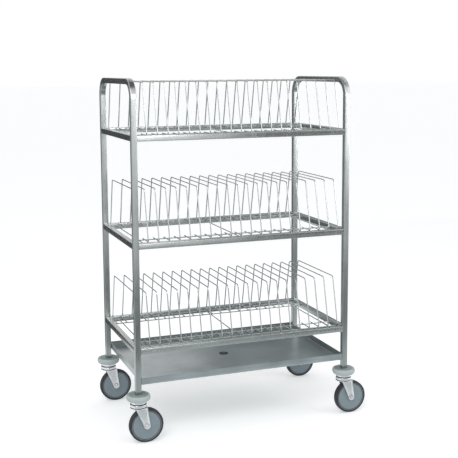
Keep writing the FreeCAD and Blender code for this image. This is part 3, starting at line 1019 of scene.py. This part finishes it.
@dataclass
class Castor:
    """One swivel castor with its bumper, from the upright's foot to the floor. Sizes in millimetres."""

    # Material number of near-black faces: painted shade in the crown's seams and in the wheel's groove
    PAINTED_SHADE: ClassVar[int] = 1
    PANEL_SHADE: ClassVar[int] = 2
    LEVEL_FACE: ClassVar[float] = 0.99

    corner: Corner
    finishes: CastorFinishes
    width: float = FRAME_WIDTH
    depth: float = FRAME_DEPTH
    trail: float = 32.0
    axle_height: float = 75.0
    crown_under: float = 156.0
    crown_top: float = 176.0
    crown_radius: float = 36.0
    crown_neck: float = 33.5
    crown_bore: float = 6.05
    lower_seam: tuple[float, float] = (2.7, 5.7)
    upper_seam: float = 3.0
    seam_radius: float = 32.0
    pin_radius: float = 6.0
    pin_head_radius: float = 10.0
    pin_head: float = 4.0
    pin_head_edge: float = 1.2
    running_gap: float = 0.3
    head_under: float = 176.3
    head_radius: float = 33.0
    head_edge: float = 1.5
    head_steps: int = 64
    foot: float = FRAME_FOOT
    bumper_top: float = 214.3
    bumper_radius: float = 52.0
    bumper_well: float = 2.0
    bumper_fit: float = 0.2
    bumper_corner: float = 2.8
    bumper_corner_steps: int = 6
    level_slack: float = 0.2
    tube: float = TUBE
    leg_inside: float = 19.0
    leg_outside: float = 22.8
    leg_recess: float = 1.8
    leg_slope: float = 4.5
    leg_overlap: float = 2.0
    leg_edge: float = 0.9
    rim_width: float = 3.0
    fork_front: float = 19.0
    fork_back: float = 35.0
    fork_end: float = 13.5
    fork_end_steps: int = 16
    bolt_radius: float = 5.0
    bolt_reach: float = 22.0
    bolt_steps: int = 32
    hexagon: float = 17.0
    hexagon_edge: float = 1.1
    bolt_head: float = 6.4
    nut: float = 8.0
    washer_radius: float = 11.0
    washer_bore: float = 5.2
    washer: float = 0.6
    washer_edge: float = 0.3
    washer_steps: int = 40
    groove_inside: float = 60.5
    groove_outside: float = 62.7
    tyre_steps: int = 120

    @property
    def key(self) -> str:
        """The corner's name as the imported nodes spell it."""
        return self.corner.name.lower()

    @property
    def swivel_body(self) -> str:
        """Body that turns about the king pin."""
        return f"swivel_{self.key}"

    @property
    def wheel_body(self) -> str:
        """Body that rolls about the axle bolt."""
        return f"wheel_{self.key}"

    @property
    def middle(self) -> Vector:
        """Point on the floor under the swivel axis."""
        side, end = self.corner.value
        return mm(side * self.width / 2, end * self.depth / 2, 0.0)

    @property
    def axle_middle(self) -> Vector:
        """Middle of the wheel."""
        return self.middle + mm(self.trail, 0.0, self.axle_height)

    @property
    def axle(self) -> Matrix:
        """Matrix at the middle of the wheel whose Z points to the front."""
        return Matrix.Translation(self.axle_middle) @ Matrix.Rotation(math.pi / 2, 4, "X")

    def bumper(self) -> None:
        """Turn the round bumper and open it for the square tube."""
        bm = bmesh.new()
        at = Matrix.Translation(self.middle)
        edge, low, high = self.bumper_radius, self.foot, self.bumper_top
        well = high - self.bumper_well
        under = [(24.0, low, 0.0), (edge - 6.0, low, 4.0), (edge, low + 9.0, 6.0)]
        shoulder = [(edge, high - 7.0, 5.0), (edge - 4.5, high, 2.5), (edge - 9.0, high, 1.5)]
        recess = [(edge - 11.0, well, 1.0), (22.0, well, 0.0)]
        lathe(bm, under + shoulder + recess, at)
        half, corner = (self.tube / 2 + self.bumper_fit) * MM, self.bumper_corner * MM
        loops = []
        for level in (low, well):
            place = at @ Matrix.Translation(mm(0, 0, level))
            loops.append(ring_square(bm, half, corner, place, self.bumper_corner_steps))
        for level, loop in zip((low, well), loops):
            rim = [part for part in bm.edges if part.is_boundary and lies_at(part, level)]
            bmesh.ops.bridge_loops(bm, edges=rim + loop)
        bmesh.ops.bridge_loops(bm, edges=loops[0] + loops[1])
        # The flat top faces in and round the well get a darker tone.
        darker_top_from = (well - self.level_slack) * MM
        for face in bm.faces:
            flat = abs(face.normal.z) > self.LEVEL_FACE
            face.material_index = int(flat and face.calc_center_median().z > darker_top_from)
        finishes = [self.finishes.bumper, self.finishes.bumper_top]
        publish(bm, f"bumper_{self.key}", finishes, FRAME_BODY, ["castor_bumpers"])

    def head(self) -> None:
        """Turn the fixed head: king pin, its head under the crown, and the head plate."""
        bm = bmesh.new()
        pin_top = self.crown_under - self.running_gap
        pin_foot = pin_top - self.pin_head
        outline = [
            (0.0, pin_foot, 0.0), (self.pin_head_radius, pin_foot, self.pin_head_edge),
            (self.pin_head_radius, pin_top, 0.0), (self.pin_radius, pin_top, 0.0),
            (self.pin_radius, self.head_under, 0.0), (self.head_radius, self.head_under, self.head_edge),
            (self.head_radius, self.foot, self.head_edge), (0.0, self.foot, 0.0),
        ]
        lathe(bm, outline, Matrix.Translation(self.middle), self.head_steps)
        publish(bm, f"head_{self.key}", [self.finishes.zinc], FRAME_BODY, ["castor_stems"])

    def leg(self, bm: bmesh.types.BMesh, face: int) -> None:
        """Press one fork leg with a raised rim.

        Args:
            bm: Mesh to work in.
            face: -1 for the front leg and 1 for the rear leg.
        """
        inside = mm(0.0, face * self.leg_inside, 0.0)
        centre = self.axle_middle + inside
        kept = set(bm.verts)
        start = bm.verts.new(centre + mm(-self.fork_end, 0.0, 0.0))
        bmesh.ops.spin(
            bm, geom=[start], cent=centre, axis=(0, 1, 0), dvec=(0, 0, 0), angle=-math.pi,
            steps=self.fork_end_steps, use_merge=False, use_duplicate=False,
        )
        arc = [vert for vert in bm.verts if vert not in kept]
        last = max(arc, key=lambda vert: vert.co.x)
        top = self.middle + inside + mm(0.0, 0.0, self.crown_under + self.leg_overlap)
        back = bm.verts.new(top + mm(self.fork_back, 0.0, 0.0))
        front = bm.verts.new(top + mm(-self.fork_front, 0.0, 0.0))
        for first, second in ((last, back), (back, front), (front, start)):
            bm.edges.new((first, second))
        plate = bmesh.ops.contextual_create(bm, geom=edges_of(arc + [back, front]))["faces"]
        made = bmesh.ops.extrude_face_region(bm, geom=plate)["geom"]
        verts = verts_in(made)
        thick = self.leg_outside - self.leg_inside
        bmesh.ops.translate(bm, verts=verts, vec=mm(0.0, face * thick, 0.0))
        outer = [part for part in made if isinstance(part, bmesh.types.BMFace)]
        bmesh.ops.recalc_face_normals(bm, faces=bm.faces)
        bmesh.ops.inset_region(bm, faces=outer, thickness=self.rim_width * MM, use_even_offset=True)
        slope, recess = self.leg_slope * MM, self.leg_recess * MM
        bmesh.ops.inset_region(bm, faces=outer, thickness=slope, depth=-recess, use_even_offset=True)
        # The recessed panel gets the darker zinc: painted shade in the recess.
        for panel in outer:
            panel.material_index = self.PANEL_SHADE
        round_edges(bm, edges_of(verts), self.leg_edge * MM, 3)

    def fork(self) -> None:
        """Join two legs with the round crown and its two seams, whose near-black colour is painted shade.
        """
        bm = bmesh.new()
        for face in (-1, 1):
            self.leg(bm, face)
        low, high = self.crown_under, self.crown_top
        bore, neck, edge = self.crown_bore, self.crown_neck, self.crown_radius
        rim = [(bore, low, 0.0), (edge, low, 1.0), (edge, low + 2.6, 0.6)]
        seam = [(neck, low + 3.2, 0.3), (neck, low + 5.2, 0.3)]
        band = [(edge, low + 5.8, 1.2), (edge, high - 3.6, 1.6)]
        top = [(neck, high - 2.4, 0.3), (neck, high, 0.0), (bore, high, 0.0)]
        lathe(bm, rim + seam + band + top, Matrix.Translation(self.middle), closed=True)
        # Faces in the seams get near-black zinc: painted shade in the crown's grooves and under the head
        # plate
        for face in bm.faces:
            spot = (face.calc_center_median() - self.middle) / MM
            if math.hypot(spot.x, spot.y) > self.seam_radius and self.in_seam_shade(spot.z):
                face.material_index = self.PAINTED_SHADE
        finishes = [self.finishes.zinc, self.finishes.seam, self.finishes.dull_zinc_and_panel_shade]
        publish(bm, f"fork_body_{self.key}", finishes, self.swivel_body, [f"fork_{self.key}"])

    def in_seam_shade(self, level: float) -> bool:
        """Tell whether a level lies in one of the crown's two seams, which get painted shade."""
        low, high = (self.crown_under + reach for reach in self.lower_seam)
        return low < level < high or level > self.crown_top - self.upper_seam

    def bolt(self) -> None:
        """Turn the axle bolt with its washer, and shape its hexagon head and nut."""
        bm = bmesh.new()
        at, radius, reach = self.axle, self.bolt_radius, self.bolt_reach
        shank = [(0.0, -reach, 0.0), (radius, -reach, 0.0), (radius, reach, 0.0), (0.0, reach, 0.0)]
        lathe(bm, shank, at, self.bolt_steps)
        for level, height in ((reach, self.bolt_head), (-reach - self.nut, self.nut)):
            place = at @ Matrix.Translation(mm(0, 0, level))
            ring = ring_round(bm, self.hexagon / math.sqrt(3) * MM, place, 6)
            bmesh.ops.edgeloop_fill(bm, edges=ring)
            upper = run(bm, ring, place.to_3x3() @ mm(0, 0, height))
            bmesh.ops.edgeloop_fill(bm, edges=upper)
            round_edges(bm, ring + upper, self.hexagon_edge * MM, 3)
        bore, rim, top = self.washer_bore, self.washer_radius, reach + self.washer
        disc = [(bore, reach, 0.0), (rim, reach, 0.0), (rim, top, self.washer_edge), (bore, top, 0.0)]
        lathe(bm, disc, at, self.washer_steps, closed=True)
        finishes = [self.finishes.dull_zinc_and_panel_shade]
        publish(bm, f"bolt_{self.key}", finishes, self.swivel_body, [f"axle_bolt_{self.key}"])

    def wheel(self) -> None:
        """Turn the wheel: hub, dished web, groove and rim."""
        bm = bmesh.new()
        hub = [(5.05, 18.4, 0.0), (17.0, 18.4, 1.2)]
        web = [(17.6, 12.0, 1.5), (30.0, 11.6, 4.0), (60.4, 12.4, 0.8)]
        groove = [(61.0, 11.2, 0.3), (62.2, 11.2, 0.3)]
        rim = [(62.8, 12.8, 0.4), (65.95, 13.0, 0.8)]
        lathe(bm, both_sides(hub + web + groove + rim), self.axle, closed=True)
        # Faces in the groove get a near-black colour: painted shade in the groove.
        centre = self.axle_middle
        for face in bm.faces:
            spot = (face.calc_center_median() - centre) / MM
            if self.groove_inside < math.hypot(spot.x, spot.z) < self.groove_outside:
                face.material_index = self.PAINTED_SHADE
        finishes = [self.finishes.wheel, self.finishes.groove]
        publish(bm, f"wheel_disc_{self.key}", finishes, self.wheel_body, [f"wheel_{self.key}"])

    def tyre(self) -> None:
        """Turn the rounded tyre."""
        bm = bmesh.new()
        half = [(66.0, 16.0, 0.5), (69.0, 15.4, 3.0), (75.0, 12.0, 4.0)]
        lathe(bm, both_sides(half), self.axle, self.tyre_steps, closed=True)
        finishes = [self.finishes.tyre]
        publish(bm, f"tyre_ring_{self.key}", finishes, self.wheel_body, [f"tyre_{self.key}"])

    def build(self) -> None:
        """Build the castor from the bumper down."""
        for make in (self.bumper, self.head, self.fork, self.bolt, self.wheel, self.tyre):
            make()


# The studio


def seen_rays(shader: Shader) -> Signal:
    """Give 1 for the rays that show a backdrop: to the camera, in a reflection or through glass.

    Args:
        shader: Node tree to work in.

    Returns:
        1 for these rays and 0 for the rest.
    """
    names = ("Is Camera Ray", "Is Glossy Ray", "Is Transmission Ray")
    camera, glossy, through = (shader.node("ShaderNodeLightPath", {}, {}, name) for name in names)
    return camera + glossy + through


@dataclass(frozen=True)
class Lamp:
    """A square soft lamp, which may be kept to some pieces. Sizes in metres, power in watts."""

    name: str
    place: Point
    target: Point
    size: float
    power: float
    pieces: tuple[bpy.types.Object, ...] = ()

    def build(self) -> None:
        """Hang the lamp, point it and give it its pieces."""
        light = bpy.data.lights.new(self.name, "AREA")
        light.energy = self.power
        light.size = self.size
        lamp = bpy.data.objects.new(self.name, light)
        lamp.location = self.place
        lamp.rotation_mode = "QUATERNION"
        lamp.rotation_quaternion = (Vector(self.target) - Vector(self.place)).to_track_quat("-Z", "Y")
        if self.pieces:
            lit = bpy.data.collections.new(self.name)
            for piece in self.pieces:
                lit.objects.link(piece)
            lamp.light_linking.receiver_collection = lit
        bpy.context.scene.collection.objects.link(lamp)


@dataclass(frozen=True)
class Card:
    """A card or mat beside the set that only the metal's reflections show. Sizes in metres."""

    name: str
    place: Point
    target: Point
    width: float
    height: float
    tone: Colour

    def build(self) -> None:
        """Set up the card and hide it from everything but reflections."""
        bm = bmesh.new()
        at = facing(Vector(self.place), Vector(self.target) - Vector(self.place))
        size = Matrix.Diagonal((self.width / 2, self.height / 2, 1, 1))
        bmesh.ops.create_grid(bm, x_segments=1, y_segments=1, size=1.0, matrix=at @ size)
        material, shader = new_material(self.name)
        glow = shader.node("ShaderNodeEmission", {}, {"Color": self.tone, "Strength": 1.0})
        shader.node("ShaderNodeOutputMaterial", {}, {"Surface": glow})
        card = place_mesh(bm, self.name, [material])
        for ray in ("camera", "diffuse", "transmission", "shadow", "volume_scatter"):
            setattr(card, f"visible_{ray}", False)


@dataclass(frozen=True)
class Studio:
    """Pale floor, soft light and the camera."""

    floor_tone: Colour = (0.92, 0.925, 0.93, 1.0)
    floor_glow: float = 0.364
    floor_size: float = 80.0
    floor_roughness: float = 0.8
    floor_gloss: float = 0.1
    sky_tone: Colour = (0.98, 0.99, 1.0, 1.0)
    sky_strength: float = 0.68
    white: Colour = (1.0, 1.0, 1.0, 1.0)
    camera_place: Point = (-1.4537, -3.9782, 1.5838)
    yaw: float = 20.467
    pitch: float = 7.568
    roll: float = 0.292
    focal_pixels: float = 931.2
    centre_row: float = 192.0
    image: float = 458.0
    sensor: float = 36.0
    far_clip: float = 200.0

    def floor(self) -> None:
        """Lay the floor."""
        bm = bmesh.new()
        bmesh.ops.create_grid(bm, x_segments=1, y_segments=1, size=self.floor_size)
        material, shader = new_material("pale_floor")
        finish = {
            "Base Color": self.floor_tone,
            "Roughness": self.floor_roughness,
            "Specular IOR Level": self.floor_gloss,
        }
        surface = shader.node("ShaderNodeBsdfPrincipled", {}, finish)
        strength = seen_rays(shader) * self.floor_glow
        glow = shader.node("ShaderNodeEmission", {}, {"Color": self.floor_tone, "Strength": strength})
        both = shader.node("ShaderNodeAddShader", {}, {0: surface, 1: glow})
        shader.node("ShaderNodeOutputMaterial", {}, {"Surface": both})
        place_mesh(bm, "floor", [material])

    def sky(self) -> None:
        """Surround the set with soft light, seen as white by the camera and in reflections."""
        world = bpy.data.worlds.new("studio")
        world.use_nodes = True
        bpy.context.scene.world = world
        shader = Shader(world.node_tree)
        light, white = (
            shader.node("ShaderNodeBackground", {}, {"Color": tone, "Strength": strength})
            for tone, strength in ((self.sky_tone, self.sky_strength), (self.white, 1.0))
        )
        both = shader.node("ShaderNodeMixShader", {}, {0: seen_rays(shader), 1: light, 2: white})
        shader.node("ShaderNodeOutputWorld", {}, {"Surface": both})

    def camera(self) -> None:
        """Stand the camera at the photograph's viewpoint."""
        yaw, pitch, roll = (math.radians(angle) for angle in (self.yaw, self.pitch, self.roll))
        flat = math.cos(pitch)
        ahead = Vector((math.sin(yaw) * flat, math.cos(yaw) * flat, -math.sin(pitch)))
        level = Vector((math.cos(yaw), -math.sin(yaw), 0.0))
        down = ahead.cross(level)
        right = math.cos(roll) * level + math.sin(roll) * down
        up = math.sin(roll) * level - math.cos(roll) * down
        data = bpy.data.cameras.new("camera")
        data.sensor_width = self.sensor
        data.lens = self.sensor * self.focal_pixels / self.image
        data.shift_y = (self.centre_row - self.image / 2) / self.image
        data.clip_end = self.far_clip
        camera = bpy.data.objects.new("camera", data)
        axes = Matrix((right, up, -ahead)).transposed()
        camera.matrix_world = Matrix.Translation(self.camera_place) @ axes.to_4x4()
        bpy.context.scene.collection.objects.link(camera)
        bpy.context.scene.camera = camera

    def build(self, tubes: Sequence[bpy.types.Object], wires: Sequence[bpy.types.Object]) -> None:
        """Build the floor, the light and the camera.

        Args:
            tubes: The pieces of ground tube, which have lamps of their own.
            wires: The pieces of wire, which share one of these lamps.
        """
        bpy.context.scene.view_settings.view_transform = "Standard"
        self.floor()
        self.sky()
        self.camera()
        for lamp in (
            Lamp("key_lamp", (-2.6, -3.4, 4.2), (0.0, 0.0, 0.8), 2.2, 80.0),
            Lamp("fill_lamp", (3.6, -2.4, 3.0), (0.0, 0.0, 0.7), 2.6, 34.0),
            Lamp("front_lamp", (0.3, -4.7, 1.8), (-0.3, 0.0, 1.3), 0.8, 17.0, tuple(tubes)),
            Lamp("bend_lamp", (0.3, -4.4, 2.6), (-0.3, 0.0, 1.4), 1.6, 34.0, (*tubes, *wires)),
            Lamp("right_lamp", (4.0, -4.1, 1.25), (0.5, -0.3, 1.25), 1.2, 104.0, tuple(tubes)),
        ):
            lamp.build()
        for card in (
            Card("left_card", (-1.9, 4.4, 0.9), (-0.5, 0.0, 0.8), 3.4, 3.0, (0.09, 0.1, 0.1, 1.0)),
            Card("left_mat", (-1.4, 2.7, 0.02), (-1.4, 2.7, 2.0), 2.0, 3.3, (0.1, 0.11, 0.11, 1.0)),
            Card("right_card", (3.0, -4.6, 0.8), (0.4, 0.0, 0.8), 2.6, 2.4, (0.03, 0.035, 0.035, 1.0)),
            Card("front_mat", (0.9, -2.4, 0.02), (0.9, -2.4, 2.0), 5.0, 2.3, (0.27, 0.29, 0.29, 1.0)),
            Card("lip_mat", (0.5, -0.85, 0.02), (0.5, -0.85, 2.0), 4.2, 0.75, (0.72, 0.78, 0.8, 1.0)),
            Card("rear_mat", (2.7, 2.9, 0.02), (2.7, 2.9, 2.0), 3.0, 3.0, (0.12, 0.13, 0.13, 1.0)),
            Card("near_mat", (-3.2, -2.7, 0.02), (-3.2, -2.7, 2.0), 2.6, 2.6, (0.12, 0.13, 0.13, 1.0)),
            Card("top_card", (0.35, -0.2, 4.5), (0.35, -0.2, 0.0), 2.6, 3.2, (0.1, 0.11, 0.11, 1.0)),
            Card("back_card", (3.0, 5.0, 2.1), (0.4, 0.0, 0.3), 2.8, 2.6, (0.24, 0.27, 0.28, 1.0)),
        ):
            card.build()


# The finishes of each piece


def shade(red: float, green: float, blue: float) -> Colour:
    """Give an opaque colour."""
    return (red, green, blue, 1.0)


def steel(level: float) -> Colour:
    """Give stainless steel's grey, with a faint green and blue cast."""
    return shade(level * 0.94, level, level * 0.985)


def tube_finish(grain: Grain, tone: float, roughness: float, turn: float) -> bpy.types.Material:
    """Finish square tube.

    Args:
        grain: Direction that it was ground in.
        tone: Its mean brightness.
        roughness: Its mean roughness.
        turn: Direction in which the grain stretches its gloss, in turns.

    Returns:
        The material.
    """
    name = f"ground_tube_{grain.name.lower()}"
    dark, light = steel(tone * 0.92), steel(tone * 1.08)
    return BrushedSteel(name, grain, dark, light, roughness, relief=0.025, stretch=0.8, turn=turn).make()


def castor_finishes() -> CastorFinishes:
    """Make the materials that all castors share.

    Returns:
        The materials by piece.
    """
    return CastorFinishes(
        zinc=ZincPlate("zinc_plate", shade(0.72, 0.73, 0.73), shade(0.64, 0.66, 0.69), 0.2).make(),
        # Darker zinc for the bolt, and painted shade for the legs' recessed panels
        dull_zinc_and_panel_shade=ZincPlate("dull_zinc_and_panel_shade", shade(0.62, 0.62, 0.615), shade(0.54, 0.56, 0.58), 0.28).make(),
        bumper=MouldedRubber(
            "pale_bumper", shade(0.44, 0.505, 0.5), shade(0.54, 0.59, 0.585),
            roughness=0.55, scuff=0.5, specular=0.4,
        ).make(),
        # Darker tone for the bumper's flat top faces
        bumper_top=MouldedRubber(
            "darker_bumper_top", shade(0.27, 0.325, 0.31), shade(0.36, 0.41, 0.39),
            roughness=0.7, scuff=0.6, specular=0.3,
        ).make(),
        # Painted shade for the crown's seams
        seam=ZincPlate("zinc_seam_painted_shade", shade(0.09, 0.09, 0.09), shade(0.05, 0.05, 0.055), 0.45).make(),
        wheel=MouldedRubber(
            "grey_wheel", shade(0.225, 0.282, 0.312), shade(0.31, 0.355, 0.375),
            roughness=0.5, scuff=0.4, specular=0.45,
        ).make(),
        # Painted shade for the wheel's groove
        groove=MouldedRubber(
            "wheel_groove_painted_shade", shade(0.03, 0.035, 0.04), shade(0.1, 0.11, 0.12),
            roughness=0.7, scuff=0.5, specular=0.3,
        ).make(),
        tyre=MouldedRubber(
            "dark_tyre", shade(0.028, 0.031, 0.036), shade(0.1, 0.1, 0.1),
            roughness=0.65, scuff=0.45, specular=0.35, skin=0.2,
        ).make(),
    )


def dress() -> tuple[list[bpy.types.Object], list[bpy.types.Object]]:
    """Build every sub-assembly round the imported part.

    Returns:
        The pieces of tube and the pieces of wire.
    """
    tube = {
        grain: tube_finish(grain, tone, roughness, turn)
        for grain, tone, roughness, turn in (
            (Grain.ALONG_X, 0.45, 0.24, 0.25),
            (Grain.ALONG_Y, 0.45, 0.26, 0.25),
            # The uprights' copy is a darker tone than the rails' and handles': painted shade on the
            # uprights
            (Grain.ALONG_Z, 0.41, 0.29, 0.0),
        )
    }
    wire = BrushedSteel(
        "bright_wire", Grain.NONE, steel(0.42), steel(0.56), roughness=0.22, lines=420.0, clouds=9.0
    ).make()
    sheet = BrushedSteel(
        "ground_sheet", Grain.ALONG_X, shade(0.28, 0.31, 0.318), shade(0.46, 0.5, 0.513),
        roughness=0.32, lines=700.0, clouds=5.0,
    ).make()
    # Near-black steel for the drain: painted shade in the drain hole
    drain = BrushedSteel(
        "drain_painted_shade", Grain.NONE, steel(0.02), steel(0.045), roughness=0.4, lines=500.0, clouds=30.0
    ).make()
    # Dark steel for the strainer: painted shade in the drain hole
    strainer = BrushedSteel(
        "strainer_sheet", Grain.NONE, steel(0.06), steel(0.13), roughness=0.35, lines=500.0, clouds=20.0
    ).make()
    castor = castor_finishes()
    tubes = TubeFrame(tube).build()
    wires = [piece for rack in Rack for piece in WireRack(rack, wire).build()]
    DripTray(sheet, drain, strainer).build()
    for corner in Corner:
        Castor(corner, castor).build()
    return tubes, wires


def main() -> None:
    """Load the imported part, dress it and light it."""
    logging.basicConfig(level=logging.INFO, format="%(name)s: %(message)s")
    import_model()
    tubes, wires = dress()
    Studio().build(tubes, wires)


if __name__ == "__main__":
    main()
